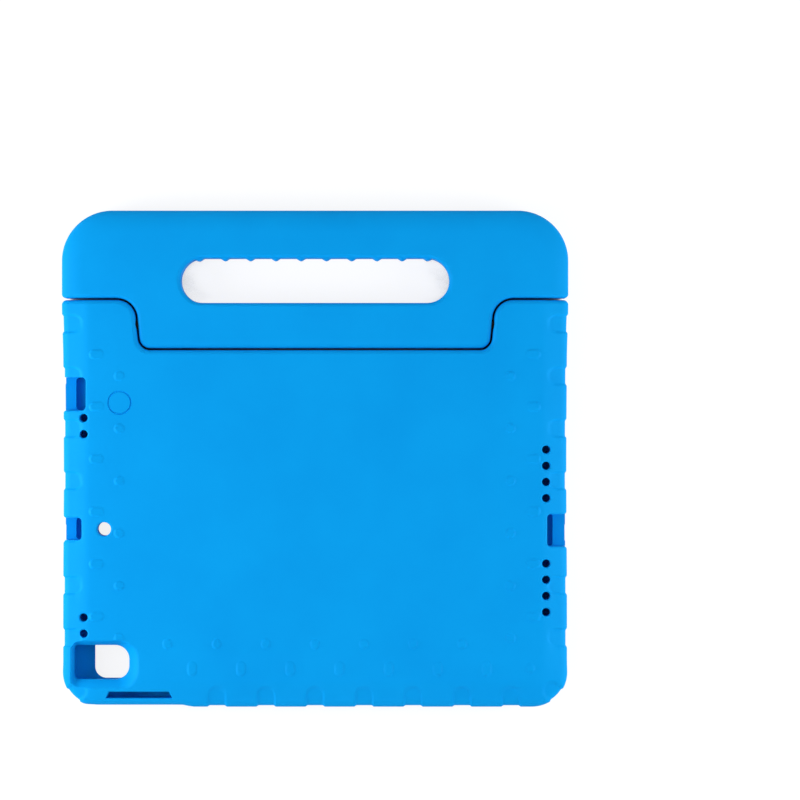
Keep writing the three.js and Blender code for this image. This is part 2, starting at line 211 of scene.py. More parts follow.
def case_height(inset):
    """Height of the case's back: a bevel with an eased upper end, a rounded edge, and a slight crown."""
    inset = np.maximum(inset, 0)
    bevel = bevel_slope * bevel_ease * np.log1p(np.exp((bevel_width - inset) / bevel_ease))
    edge = shoulder_depth - bevel_slope * bevel_width - case_crown_depth
    rounding = quarter_ellipse(inset, edge_width, edge)
    return thickness - bevel - rounding - crown_drop(inset, crown_width, case_crown_depth)


def handle_height_at(inset):
    """Height of the handle's back: a quarter ellipse over the shoulder, and a wider crown."""
    edge = shoulder_depth - handle_crown_depth
    rounding = quarter_ellipse(inset, handle_shoulder_width, edge)
    return thickness - rounding - crown_drop(np.maximum(inset, 0), handle_crown_width, handle_crown_depth)


def front_height(inset):
    """Height of the front: a quarter circle at the edge and flat inside it."""
    share = np.clip(1 - np.maximum(inset, 0) / front_round, 0, 1)
    return front_round * (1 - np.sqrt(1 - share * share))


def slab_section(height_of, last_inset):
    """The section from the flat front, round the edge and over the back to the last inset."""
    turn = np.radians(np.linspace(0, 90, 9))
    fan = np.radians(np.linspace(0, 90, 11))
    front_flat = np.linspace(front_reach, front_round + 1, 12)
    front_inset = np.concatenate([front_flat, front_round * (1 - np.sin(turn))])
    front_z = np.concatenate([np.zeros(12), front_round * (1 - np.cos(turn))])
    wall_z = np.linspace(front_round, thickness - shoulder_depth, 6)[1:-1]
    back_inset = np.concatenate([
        edge_width * (1 - np.cos(fan)),
        np.linspace(edge_width, bevel_end, 19)[1:],
        np.linspace(bevel_end, crown_width, 9)[1:],
        np.arange(crown_width, last_inset, back_spacing)[1:],
    ])
    inset = np.concatenate([front_inset, np.zeros(4), back_inset])
    height = np.concatenate([front_z, wall_z, height_of(back_inset)])
    return inset, height


section_inset, section_z = slab_section(case_height, crown_width)
print("Section:", len(section_inset), "points, up to a height of", round(section_z[-1], 2), "mm")

# %% [markdown]
# Round the edge run shallow grip grooves. Moulded foam has no sharp edge there, so they aren't cut out:
# the slab's own grid sinks along its normal, by a depth that falls off softly at the border of each pill.
# The grid needs more points where a border passes, so the outline's sides are cut finer near each groove.

# %% Grip grooves
groove_width = 9.4
groove_depth = 0.8
groove_reach = 11
groove_softness = 1.5
corner_groove_reach = 9
first_side_groove = 37.7
side_groove_pitch = 28.5
bottom_groove_pitch = 26.7
side_groove_y = bottom_y + first_side_groove + side_groove_pitch * np.arange(7)
bottom_groove_x = bottom_groove_pitch * np.arange(-2, 5)
corner_turn = bottom_corner_radius * (1 - np.sqrt(0.5))
past_edge = 8


def pills():
    """Start, direction and length of each groove's middle line, from outside the edge inwards."""
    reach = groove_reach - groove_width / 2
    corner_reach = corner_groove_reach - groove_width / 2
    rows = [(-half_width, y, 0, reach) for y in side_groove_y]
    rows += [(half_width, y, 180, reach) for y in side_groove_y]
    rows += [(x, bottom_y, 90, reach) for x in bottom_groove_x]
    rows += [(-half_width + corner_turn, bottom_y + corner_turn, 45, corner_reach)]
    rows += [(half_width - corner_turn, bottom_y + corner_turn, 135, corner_reach)]
    x, y, angle, length = np.array(rows, float).T
    direction = np.column_stack([np.cos(np.radians(angle)), np.sin(np.radians(angle))])
    start = np.column_stack([x, y]) - past_edge * direction
    return start, direction, length + past_edge


def groove_sink(plan):
    """Depth at each plan point: full inside a pill, S-curved to nothing across its border."""
    start, direction, length = pills()
    away = plan[..., None, :] - start
    along = np.clip((away * direction).sum(-1), 0, length)
    distance = np.linalg.norm(away - along[..., None] * direction, axis=-1).min(-1)
    return groove_depth * smooth_step((groove_width / 2 - distance) / groove_softness + 0.5)


# %% [markdown]
# The handle's back isn't quite level: from the grip hole it falls a little towards the seam, so that the
# tab sits just under the case's back. Only heights near the back follow, the sides and the front don't.

# %% The handle's fall
fall_start_y = top_y - 21
fall_depth = 1.4


def lowered(z, y):
    """Heights less the fall, which grows with the square of the way from its start to the seam."""
    share = np.clip((fall_start_y - y) / (fall_start_y - notch_y), 0, 1.1)
    wall_top = thickness - shoulder_depth
    return z - fall_depth * share * share * smooth_step((z - wall_top) / shoulder_depth)


# %% [markdown]
# The slab's surface is a function of two parameters: the place along the outline and the place along the
# section. A ring that lies deeper in has smaller corner radii, but never quite reaches zero, so the rings
# stay clear of each other right up to the crown's end.

# %% The slab's surface
smallest_corner = 6
corner_steps = 30
point_spacing = 3
border_reach = 1.1
pill_middle = 2.4
smallest_gap = 0.8


def side_shares(ends, centres):
    """Shares of a side where its points go: 3 mm apart, and close together at each groove's border."""
    start, end = ends
    border = np.linspace(-border_reach, border_reach, 7) + groove_width / 2
    offsets = np.concatenate([-border, border, [-pill_middle, 0, pill_middle]])
    fine = (centres[:, None] + offsets).ravel() if len(centres) else np.empty(0)
    low, high = min(start, end), max(start, end)
    fine = fine[(fine > low + 0.3) & (fine < high - 0.3)]
    coarse = np.linspace(low, high, int((high - low) / point_spacing))
    gaps = np.abs(coarse[:, None] - fine).min(1) if len(fine) else np.full(len(coarse), np.inf)
    places = np.sort(np.concatenate([coarse[gaps > smallest_gap], fine]))
    places = places[(places > low + 0.2) & (places < high - 0.2)]
    return np.sort((places - start) / (end - start))


def outline_grid(with_grooves):
    """For each point of the outline: its corner and angle, the next corner's, and the share between."""
    inner_y = (bottom_y + bottom_corner_radius, top_y - top_corner_radius)
    inner_x = (-half_width + bottom_corner_radius, half_width - bottom_corner_radius)
    upper_x = (half_width - top_corner_radius, -half_width + top_corner_radius)
    side_y = side_groove_y if with_grooves else np.empty(0)
    bottom_x = bottom_groove_x if with_grooves else np.empty(0)
    sides = [
        side_shares(inner_x, bottom_x),
        side_shares(inner_y, side_y),
        side_shares(upper_x, np.empty(0)),
        side_shares(inner_y[::-1], side_y),
    ]
    corner, angle, share = [], [], []
    for number, shares in enumerate(sides):
        turn = np.linspace(180, 270, corner_steps + 1) + 90 * number
        corner.append(np.full(len(turn) + len(shares), number))
        angle.append(np.concatenate([turn, np.full(len(shares), turn[-1])]))
        share.append(np.concatenate([np.zeros(len(turn)), shares]))
    return np.concatenate(corner), np.radians(np.concatenate(angle)), np.concatenate(share)


def corner_point(number, angle, inset):
    """A corner's arc at an inset: its radius shrinks by an exponential that stops at the smallest one."""
    x = half_width * np.array([-1, 1, 1, -1])[number]
    y = np.array([bottom_y, bottom_y, top_y, top_y])[number]
    radius = np.array([bottom_corner_radius] * 2 + [top_corner_radius] * 2)[number]
    spare = radius - smallest_corner
    radius = np.where(inset < 0, radius - inset, smallest_corner + spare * np.exp(-inset / spare))
    inwards_x = -np.sign(x)
    inwards_y = np.array([1, 1, -1, -1])[number]
    centre_x = x + inwards_x * (inset + radius)
    centre_y = y + inwards_y * (inset + radius)
    return np.stack([centre_x + radius * np.cos(angle), centre_y + radius * np.sin(angle)], axis=-1)


def slab_plan(grid, inset):
    """Plan points of the outline moved inwards by inset, an array of levels x points."""
    number, angle, share = grid
    here = corner_point(number, angle, inset)
    following = corner_point((number + 1) % 4, angle, inset)
    return here + share[:, None] * (following - here)


def case_slab():
    """The case's slab: the section carried round the outline, sunk along its normal in the grooves."""
    grid = outline_grid(True)
    section, height = slab_section(case_height, crown_width)
    along, up = np.gradient(section), np.gradient(height)
    length = np.hypot(along, up)
    normal_inset, normal_z = -up / length, along / length
    inset = np.repeat(section[:, None], len(grid[0]), axis=1)
    sink = groove_sink(slab_plan(grid, inset))
    plan = slab_plan(grid, inset - sink * normal_inset[:, None])
    z = height[:, None] - sink * normal_z[:, None]
    return shell(np.concatenate([plan, z[..., None]], axis=-1))


def handle_slab():
    """The handle's slab: the same section carried on over the whole back, which falls towards the seam."""
    grid = outline_grid(False)
    section, height = slab_section(handle_height_at, top_y - notch_y + 6)
    plan = slab_plan(grid, np.repeat(section[:, None], len(grid[0]), axis=1))
    z = lowered(np.repeat(height[:, None], len(grid[0]), axis=1), plan[..., 1])
    return shell(np.concatenate([plan, z[..., None]], axis=-1))


# %% [markdown]
# Cut edges have to follow the slab's skin, which drops away towards the outline. For that the script asks,
# for any plan point, how far it is from the outline and how high the back is there.

# %% Heights under the skin
def inset_at(plan):
    """Distance inwards from the rounded outline, negative outside it."""
    x, y = plan[..., 0], plan[..., 1]
    middle_y = (bottom_y + top_y) / 2
    radius = np.where(y > middle_y, top_corner_radius, bottom_corner_radius)
    over_x = np.abs(x) - (half_width - radius)
    over_y = np.abs(y - middle_y) - ((top_y - bottom_y) / 2 - radius)
    outside = np.hypot(np.maximum(over_x, 0), np.maximum(over_y, 0))
    return radius - outside - np.minimum(np.maximum(over_x, over_y), 0)


def skin(plan):
    """Height of the case's back at plan points."""
    return case_height(inset_at(plan))


def handle_skin(plan):
    """Height of the handle's back at plan points."""
    return lowered(handle_height_at(inset_at(plan)), plan[..., 1])


def round_off(depth, radius):
    """How far a rounded edge stands back at a depth under the face: a quarter circle."""
    rest = radius - np.clip(depth, 0.02 * radius, radius)
    return radius - np.sqrt(radius * radius - rest * rest)


# %% [markdown]
# The stepped seam is one line across the slab, with the case below it and the handle's tab above. Each
# moulding keeps half a gap away from that line and rounds its own edge, on both faces and round the sides.
# So each side of the seam is a solid of its own that the slab is intersected with: at every point of the
# line and every height, it stands back by the quarter circle that belongs to its depth under the skin.
# The tab isn't quite square: below the shoulder's arc its sides lean in by a little over a millimetre.

# %% The seam
shoulder_corner_radius = 11
tab_corner_radius = 5.7
handle_edge_round = 2.2
body_edge_round = 2.8
tab_lean = 1.4
tab_drop = 0.6
lean_start = 10.5
beyond = 12


def straight(start, end, steps):
    """Points evenly from start to end."""
    return np.linspace(start, end, steps + 1)


def seam_line():
    """Points of the seam from left to right, and at each the direction towards the handle."""
    tab_centre = (tab_x - tab_corner_radius, notch_y + tab_corner_radius)
    shoulder_centre = (tab_x + shoulder_corner_radius, shoulder_y - shoulder_corner_radius)
    tab_arc = arc(*tab_centre, tab_corner_radius, 270, 360, 18)
    shoulder_arc = arc(*shoulder_centre, shoulder_corner_radius, 180, 90, 24)
    bottom = straight((0, notch_y), tab_arc[0], 24)[:-1]
    riser = straight(tab_arc[-1], shoulder_arc[0], 4)[1:-1]
    level_part = straight(shoulder_arc[-1], (half_width - 4, shoulder_y), 8)[1:]
    edge_part = straight((half_width - 4, shoulder_y), (half_width + 1, shoulder_y), 16)[1:]
    last = np.array([(half_width + beyond, shoulder_y)])
    right = np.concatenate([bottom, tab_arc, riser, shoulder_arc, level_part, edge_part, last])
    up = np.tile([0.0, 1.0], (len(right), 1))
    first = len(bottom)
    up[first:first + len(tab_arc)] = (tab_centre - tab_arc) / tab_corner_radius
    first += len(tab_arc)
    up[first:first + len(riser)] = (-1, 0)
    first += len(riser)
    up[first:first + len(shoulder_arc)] = (shoulder_arc - shoulder_centre) / shoulder_corner_radius
    leaning = np.clip((shoulder_y - lean_start - right[:, 1]) / (shoulder_rise - lean_start - 1.5), 0, 1)
    right[:, 0] *= 1 - tab_lean / tab_x * leaning
    right[:, 1] -= tab_drop * leaning
    mirror = np.array([-1, 1])
    return np.concatenate([right[:0:-1] * mirror, right]), np.concatenate([up[:0:-1] * mirror, up])


def seam_side(side, radius, height_of):
    """The room on one side of the seam, 1 the handle's and -1 the case's, rounded under the skin."""
    line, up = seam_line()
    inset = inset_at(line)
    deep = radius * (1 - np.cos(np.radians(np.linspace(0, 90, 9))))
    low = front_height(inset) + deep[:, None]
    high = height_of(line) - deep[::-1, None]
    z = np.concatenate([low, high])
    under = np.concatenate([np.repeat(depth[:, None], len(line), 1) for depth in (deep, deep[::-1])])
    recess = round_off(np.minimum(under, inset), radius)
    z = np.concatenate([np.full((1, len(line)), -4.0), z, np.full((1, len(line)), thickness + 4.0)])
    recess = np.concatenate([recess[:1], recess, recess[-1:]])
    plan = line + side * (seam_gap / 2 + recess)[..., None] * up
    rings = np.concatenate([plan, z[..., None]], axis=-1)
    far_x = half_width + beyond
    far_y = top_y + beyond if side > 0 else bottom_y - beyond
    far = np.array([(far_x, far_y), (-far_x, far_y)])
    corners = np.stack([level(far, ring[0, 2]) for ring in rings])
    rings = np.concatenate([rings, corners], axis=1)
    return shell(rings if side > 0 else rings[:, ::-1])


# %% [markdown]
# A hole in soft foam has rounded edges. A cutter for one is its outline, carried up through the slab and
# flared where it meets a face: at each step under the skin the outline grows by the same quarter circle.

# %% Holes with rounded edges
def flared_shell(outline_at, floor_z, radius, steps=6):
    """A cutter from a flat floor up through the back, its outline grown by a quarter circle at the skin."""
    deep = radius * (1 - np.cos(np.radians(np.linspace(90, 0, steps + 1))))
    rings = [level(outline_at(0), floor_z)]
    rings += [level(loop, skin(loop) - d) for d in deep for loop in [outline_at(round_off(d, radius))]]
    mouth = outline_at(round_off(0, radius))
    rings.append(level(mouth, thickness + 3))
    return shell(rings)


def prism(loop, z0, z1):
    """An outline carried straight up."""
    return shell([level(loop, z0), level(loop, z1)])


# %% [markdown]
# The tablet lies in a bay that is open to the front through a bevelled window. Behind the window's lip is
# the bay itself, a plain pocket of the tablet's own size.

# %% Bay and window
lip_overlap = 5
window_bevel = 4.5
rim_rise = 3.5
window_corner_radius = 6.2
window_ease = 0.35
window_edge_round = 1.2


def bay_shell():
    """The pocket, from the lip to the back panel."""
    box = (-bay_end_x, bay_bottom_y, bay_end_x, bay_top_y)
    return prism(rounded_rectangle(box, [bay_corner_radius] * 4, steps=16), bay_front_z, bay_back_z)


def window_shell():
    """The window: a bevel that eases into an upright lip, like a ramp with both ends rounded."""
    x, low_y, high_y = bay_end_x - lip_overlap, bay_bottom_y + lip_overlap, bay_top_y - lip_overlap
    box = (-x, low_y, x, high_y)
    z = np.linspace(0, rim_rise + window_edge_round, 15)
    ramp = (rim_rise - z) * window_bevel / rim_rise
    grow = window_ease * np.log1p(np.exp(ramp / window_ease)) + round_off(z, window_edge_round)
    z = np.concatenate([[-2], z, [bay_front_z + 1]])
    grow = np.concatenate([grow[:1], grow, grow[-1:]])
    loops = [rounded_rectangle(box, [window_corner_radius] * 4, g, 16) for g in grow]
    return shell([level(loop, height) for loop, height in zip(loops, z)])


# %% [markdown]
# The camera cut-out is a hole with a funnel, wide on the side of the slab's middle and below, so that
# the foam doesn't show in wide-angle photographs. Each of its four sides slopes by its own amount.

# %% Camera cut-out
camera_x0 = -bay_end_x - 6
camera_x1 = -bay_end_x + 24.5
camera_y0 = bay_bottom_y + 5
camera_y1 = bay_bottom_y + 23.7
camera_box = np.array([camera_x0, camera_y0, camera_x1, camera_y1])
camera_radii = np.array([2.5, 7.6, 7.6, 2.5])
camera_funnel = np.array([-1.5, -5, 5, 2.5])
funnel_depth = 6
funnel_corner_growth = 2.5
camera_edge_round = 0.8


def camera_shell():
    """The hole, then the funnel: box and radii grow with an eased ramp from its root to the skin."""
    slope = np.concatenate([[0], np.linspace(0, 1, 13), [1]])
    deep = np.concatenate([[thickness - bay_front_z], np.linspace(funnel_depth, 0, 13), [-3]])
    rings = []
    for s, d in zip(slope, deep):
        flare = round_off(max(d, 0), camera_edge_round)
        box = camera_box + s * camera_funnel
        loop = rounded_rectangle(box, camera_radii + funnel_corner_growth * s, flare, 12)
        loop = finer(loop, parts_of(rounded_rectangle(camera_box, camera_radii, 0, 12), 3))
        rings.append(level(loop, skin(loop) - d if d != deep[0] else bay_front_z))
    return shell(rings)


# %% [markdown]
# A slot reaches the volume buttons, and a shallow scoop outside it makes room for a fingertip. Notches in
# the side walls leave the ports free: an outer pocket for the plug, and a deeper slot along the tablet.

# %% Slots and notches
volume_x0 = -bay_end_x + 13.6
volume_x1 = volume_x0 + 32.6
volume_inner_y = bay_bottom_y - 1.6
volume_outer_y = volume_inner_y - 3.5
volume_flank = 1.8
notch_floor = 9
port_slot_radius = 2.2
scoop_depth = 0.5
notch_edge_round = 1.2
notch_side_round = 1.6
slot_edge_round = 0.5
# Side, middle height, width, and how far past the tablet's end the slot begins and ends
HEADPHONES = (-1, bottom_y + 170.5, 18, -1.1, 5.4)
MICROPHONE = (-1, bottom_y + 97, 12.1, 1.2, 5.4)
CHARGER = (1, bottom_y + 96.2, 17.5, 0.6, 4.2)
PORTS = (HEADPHONES, MICROPHONE, CHARGER)


def volume_shell():
    """The slot: a trapezium, flared at the skin."""
    def outline_at(grow):
        corners = np.array([
            (volume_x0 - volume_flank, volume_outer_y),
            (volume_x1 + volume_flank, volume_outer_y),
            (volume_x1, volume_inner_y),
            (volume_x0, volume_inner_y),
        ])
        middle = corners.mean(0)
        spread = corners + grow * np.sign(corners - middle)
        return finer(spread, parts_of(corners, 3))
    return flared_shell(outline_at, bay_front_z, 0.7)


def volume_pocket():
    """The way from the slot to the bay."""
    box = np.array([(volume_x0, volume_inner_y - 1), (volume_x1, volume_inner_y - 1),
                    (volume_x1, bay_bottom_y + 1), (volume_x0, bay_bottom_y + 1)])
    return prism(box, bay_front_z, bay_back_z)


def on_side(side, x0, x1, y, width):
    """A box (x0, y0, x1, y1) between two distances from the middle, on the right or the left side."""
    return (x0, y - width / 2, x1, y + width / 2) if side > 0 else (-x1, y - width / 2, -x0, y + width / 2)


def side_opening(side, y, width, inner, grow):
    """The pocket's outline: parallel walls that flare by a quarter circle towards the slab's side."""
    turn = np.radians(np.linspace(0, 90, 8))
    reach = np.concatenate([[inner], half_width - 2 + 2 * np.sin(turn)])
    flare = np.concatenate([[0], round_off(half_width - reach[1:], notch_side_round)])
    half = width / 2 + np.maximum(flare, grow)
    lower = np.column_stack([reach, y - half])
    upper = np.column_stack([reach, y + half])
    far = np.array([(half_width + 6, y - half[-1]), (half_width + 6, y + half[-1])])
    loop = np.concatenate([lower, far, upper[::-1]]) * (side, 1)
    return loop if side > 0 else loop[::-1]


def port_notch(side, y, width, start, end):
    """The plug's pocket, from inside the slot out through the side, flared at the skin."""
    inner = bay_end_x + (start + end) / 2
    return flared_shell(
        lambda grow: side_opening(side, y, width, inner, grow), notch_floor, notch_edge_round)


def port_scoop(side, y, width, start, end):
    """A shallow scoop down the slab's side, as wide as the pocket."""
    return prism(side_opening(side, y, width, half_width - scoop_depth, 0), -2, notch_floor + 2)


def port_slot(side, y, width, start, end):
    """The slot along the tablet, a rounded rectangle flared at the skin."""
    box = on_side(side, bay_end_x + start, bay_end_x + end, y, width)
    radii = [min(port_slot_radius, (end - start) / 2 - 0.1)] * 4
    return flared_shell(lambda grow: rounded_rectangle(box, radii, grow, 8), bay_front_z, slot_edge_round)


def port_way(side, y, width, start, end):
    """The way from the slot to the bay, no higher than the bay."""
    outer_x = bay_end_x + (start + end) / 2
    x0, y0, x1, y1 = on_side(side, bay_end_x - 1, outer_x, y, width - 2 * port_slot_radius)
    return prism(np.array([(x0, y0), (x1, y0), (x1, y1), (x0, y1)]), bay_front_z, bay_back_z)


# %% [markdown]
# Small round things: the rows of speaker holes along the tablet's ends, the hole for the rear microphone,
# and the thin ring that the moulding gate leaves in the foam.

# %% Round holes
speaker_radius = 2.2
speaker_pitch = 8.8
speaker_edge_round = 0.9
# Side, height of the lowest hole above the bottom, and how many holes
SPEAKER_ROWS = ((1, 51.8, 4), (1, 113.8, 4), (-1, 40.1, 2), (-1, 148.6, 2))
# Each: x, y and radius
microphone = (-bay_end_x + 11.1, bottom_y + 97, 3.7)
gate = (-half_width + 31.8, bottom_y + 165.7, 6.15)
gate_half_width = 0.5
gate_depth = 0.6


def round_hole(x, y, radius, floor_z, edge):
    """A round hole, flared at the skin."""
    return flared_shell(lambda grow: circle(x, y, radius + grow), floor_z, edge)


def speaker_holes():
    """Rows of round holes, a pitch apart."""
    sizes = (speaker_radius, bay_front_z + 1, speaker_edge_round)
    return [
        round_hole(side * bay_end_x, bottom_y + first + i * speaker_pitch, *sizes)
        for side, first, count in SPEAKER_ROWS
        for i in range(count)
    ]


def gate_ring():
    """A torus sunk halfway in the back: a small circle carried round a large one."""
    x, y, radius = gate
    turn = np.radians(np.arange(0, 360, 5))
    small = np.radians(np.arange(0, 360, 45))
    away = radius + gate_half_width * np.cos(small)
    z = skin(np.array([x, y])) + gate_depth * np.sin(small)
    grid = np.stack([
        x + away * np.cos(turn)[:, None],
        y + away * np.sin(turn)[:, None],
        np.broadcast_to(z, (len(turn), len(small))),
    ], axis=-1)
    count = len(small)
    index = np.arange(grid.shape[0] * count).reshape(-1, count)
    beside = np.roll(index, -1, 0)
    quads = np.stack([index, beside, np.roll(beside, -1, 1), np.roll(index, -1, 1)], axis=-1)
    return grid.reshape(-1, 3), quads.reshape(-1, 4).tolist()


# %% [markdown]
# Inside the grooves stand two staggered lines of low nubs. Each is an oval button with a rounded rim,
# sitting on the skin.

# %% Nubs
nub_rise = 0.55
nub_rim = 1.7
nub_tilt = 0.5
nub_width = 6.4
nub_length = 6.8
outer_nub_length = 9.4
# How far the four lines and the corner's nub lie from the outline, and how far a line is moved along it
inner_line_side = 31.7
outer_line_side = 19.4
inner_line_bottom = 34.6
outer_line_bottom = 21.2
corner_nub_side = 21
nub_stagger = 2.4


def nub(x, y, length_x, length_y):
    """An oval button: its rim rises in an S-curve to a flat top, tilted up away from the middle."""
    corner = min(length_x, length_y) / 2
    box = (x - length_x / 2, y - length_y / 2, x + length_x / 2, y + length_y / 2)
    share = np.linspace(0, 1, 9)
    rings = [level(rounded_rectangle(box, [corner] * 4, 0, 10), thickness - 4)]
    for s in share:
        loop = rounded_rectangle(box, [corner] * 4, -nub_rim * s, 10)
        outwards = (loop - (x, y)) @ np.array([x, y]) / np.hypot(x, y) / corner
        rise = nub_rise * (smooth_step(s) * (1 + nub_tilt * outwards) - 0.06)
        rings.append(level(loop, skin(loop) + rise))
    return shell(rings)


def nub_shells():
    """Two lines down each side, two along the bottom, and one in the right corner."""
    inner_x, outer_x = half_width - inner_line_side, half_width - outer_line_side
    inner_y, outer_y = bottom_y + inner_line_bottom, bottom_y + outer_line_bottom
    between = side_groove_pitch / 2 - nub_stagger
    made = []
    for side in (-1, 1):
        made += [nub(side * inner_x, y, nub_length, nub_width) for y in side_groove_y[:-1]]
        made += [nub(side * outer_x, y + between, outer_nub_length, nub_width) for y in side_groove_y[:-1]]
    bottom_x = bottom_groove_pitch * np.arange(-3, 4)
    made += [nub(x, inner_y, nub_width, nub_length) for x in bottom_x]
    made += [nub(x + bottom_groove_pitch / 2, outer_y, nub_width, outer_nub_length) for x in bottom_x]
    made.append(nub(half_width - corner_nub_side, outer_y, nub_width, nub_width))
    return made


# %% [markdown]
# The hinge is hidden in the foam: a nylon pin keyed in each side of the tab turns in a cup in each
# shoulder. The foam is hollow round them, so both mouldings need the holes that the pins and cups sit in.

# %% Hinge holes
pivot_rise = 12.75
pivot_below_back = 5.5
pivot_y = notch_y + pivot_rise
pivot_z = thickness - pivot_below_back
# Pairs of distance outwards from the tab's side and radius: the pin's head and shaft, the cup and its foot
PIN_HOLE = [(-14.3, 4.3), (-11.2, 4.3), (-11.2, 2.8), (3, 2.8)]
CUP_HOLE = [(-1, 4.15), (9.5, 4.15), (9.5, 4.85), (12.1, 4.85)]


def turned(profile, side):
    """A profile of (distance outwards along the hinge axis, radius) pairs turned round that axis."""
    along, radius = np.array(profile, float).T
    turn = np.radians(np.arange(0, 360, 10))
    x = side * (tab_x - seam_gap / 2 + along)
    rings = np.stack([
        np.broadcast_to(x[:, None], (len(x), len(turn))),
        pivot_y + radius[:, None] * np.cos(turn),
        pivot_z + radius[:, None] * np.sin(turn),
    ], axis=-1)
    return shell(rings if side > 0 else rings[:, ::-1])


# %% [markdown]
# The grip hole is an oval through the handle. Its upper wall has finger ridges, narrow ribs with room for
# a finger between two of them, which fade out before either face. So the cutter's upper side is lowered
# by a function of the place along the hole and of the height.

# %% Grip hole
grip_top_y = top_y - 26
grip_length = 146.4
grip_height = 24.4
grip_front_round = 4
grip_back_round = 2.4
ridge_pitch = 13.8
ridge_count = 10
ridge_depth = 1.5
ridge_half_width = 3.2
ridge_shift = -0.8


def ridge_drop(x, z):
    """How far the ridges hang down: a bell (cosine squared) at each pitch, faded near both faces."""
    reach = ridge_pitch * ridge_count / 2
    from_tip = np.abs((x - ridge_shift + reach) % ridge_pitch - ridge_pitch / 2)
    bell = np.cos(np.pi / 2 * np.clip(from_tip / ridge_half_width, 0, 1)) ** 2
    fade = smooth_step((z - 6) / 4) * smooth_step((thickness - 2 - z) / 3)
    return np.where(np.abs(x - ridge_shift) < reach, ridge_depth * bell, 0) * fade


def grip_shell():
    """The oval at many heights: flared at the front and at the skin, its upper side hung with ridges."""
    box = (-grip_length / 2, grip_top_y - grip_height, grip_length / 2, grip_top_y)
    radii = [grip_height / 2] * 4
    parts = parts_of(rounded_rectangle(box, radii, 0, 20), 1.0)
    turn = np.radians(np.linspace(0, 90, 8))
    front = grip_front_round * (1 - np.cos(turn))
    middle = np.linspace(grip_front_round + 1, thickness - grip_back_round - 1, 18)
    back = grip_back_round * (1 - np.cos(turn[::-1]))
    rings = []

    def add(z, grow, from_skin=False):
        loop = finer(rounded_rectangle(box, radii, grow, 20), parts)
        height = handle_skin(loop) - z if from_skin else np.full(len(loop), z)
        upper = smooth_step((loop[:, 1] - (grip_top_y - 4)) / 3)
        loop[:, 1] -= upper * ridge_drop(loop[:, 0], height)
        rings.append(level(loop, height))

    add(-3, round_off(0, grip_front_round))
    for z in front:
        add(z, round_off(z, grip_front_round))
    for z in middle:
        add(z, 0)
    for z in back:
        add(z, round_off(z, grip_back_round), True)
    add(thickness + 3, round_off(0, grip_back_round))
    return shell(rings)


# %% [markdown]
# Now the mouldings are put together with Boolean modifiers. The Manifold solver is fast and exact on
# closed meshes. The finished mesh is taken out of the modifier stack, the cutters are thrown away, and
# edges steeper than a set angle stay crisp while all else is shaded smooth.

# %% Cutting
def cut(name, base, steps):
    """A new mesh object: the base shell after each (operation, shells) step in turn."""
    work = mesh_of(name, [base])
    tools = []
    for number, (operation, shells) in enumerate(steps):
        tool = mesh_of(f"{name}_tool_{number}", shells)
        modifier = work.modifiers.new(tool.name, "BOOLEAN")
        modifier.operation = operation
        modifier.solver = "MANIFOLD"
        modifier.object = tool
        tools.append(tool)
    graph = bpy.context.evaluated_depsgraph_get()
    mesh = bpy.data.meshes.new_from_object(work.evaluated_get(graph))
    work.modifiers.clear()
    work.data = mesh
    for tool in tools:
        bpy.data.objects.remove(tool)
    mesh.shade_smooth()
    mesh.set_sharp_from_angle(angle=np.radians(32))
    weights = work.modifiers.new("flat faces lead the shading", "WEIGHTED_NORMAL")
    weights.keep_sharp = True
    weights.weight = 100
    mesh.calc_loop_triangles()
    print(name, "has", len(mesh.loop_triangles), "triangles")
    return work


# %% [markdown]
# The case's long walls aren't quite straight: soft foam shrinks most where nothing holds it, so they're
# drawn in by up to a millimetre between the corners, and the bottom wall is drawn in a little outside the
# volume slot. Only the outermost foam moves. The bay and all that lines up with the tablet stay put.

# %% Drawn-in walls
waist_depth = 0.7
waist_belly = 0.35
waist_middle_y = -5
waist_reach = 75
scoop_ends = (-128, -120, -73, -66)
volume_scoop_depth = 1.1


def draw_in_walls(obj):
    """Moves points near the outline inwards: sides by an S-curved waist, the bottom by a flat scoop."""
    mesh = obj.data
    points = np.empty(3 * len(mesh.vertices))
    mesh.vertices.foreach_get("co", points)
    points = points.reshape(-1, 3) / MM
    x, y = points[:, 0].copy(), points[:, 1].copy()
    belly = 1 - smooth_step(np.abs(y - waist_middle_y) / waist_reach)
    waist = (waist_depth + waist_belly * belly) * smooth_step((shoulder_y - 3 - y) / 30)
    waist *= smooth_step((y - bottom_y - 6) / bottom_corner_radius)
    outer_side = smooth_step((np.abs(x) - bay_end_x - 2) / (side_wall - 4))
    start, full, full_end, end = scoop_ends
    falling = smooth_step((end - x) / (end - full_end))
    scoop = volume_scoop_depth * smooth_step((x - start) / (full - start)) * falling
    outer_bottom = smooth_step((volume_outer_y - 0.6 - y) / (volume_outer_y - 0.6 - bottom_y))
    points[:, 0] -= np.sign(x) * waist * outer_side
    points[:, 1] += scoop * outer_bottom
    mesh.vertices.foreach_set("co", (points * MM).ravel())
    mesh.update()


# %% The case body
case_foam = cut("case_foam", case_slab(), [
    ("INTERSECT", [seam_side(-1, body_edge_round, skin)]),
    ("UNION", nub_shells()),
    ("DIFFERENCE", [bay_shell()]),
    ("DIFFERENCE", [window_shell()]),
    ("DIFFERENCE", [camera_shell(), volume_shell()] + speaker_holes()
     + [round_hole(*microphone, bay_back_z - 1, 1.1), gate_ring()]
     + [turned(CUP_HOLE, side) for side in (-1, 1)]),
    ("DIFFERENCE", [port_notch(*port) for port in PORTS] + [volume_pocket()]),
    ("DIFFERENCE", [port_slot(*port) for port in PORTS]),
    ("DIFFERENCE", [port_way(*port) for port in PORTS] + [port_scoop(*port) for port in PORTS]),
])
draw_in_walls(case_foam)
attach(case_foam, "case")
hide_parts("case_body")

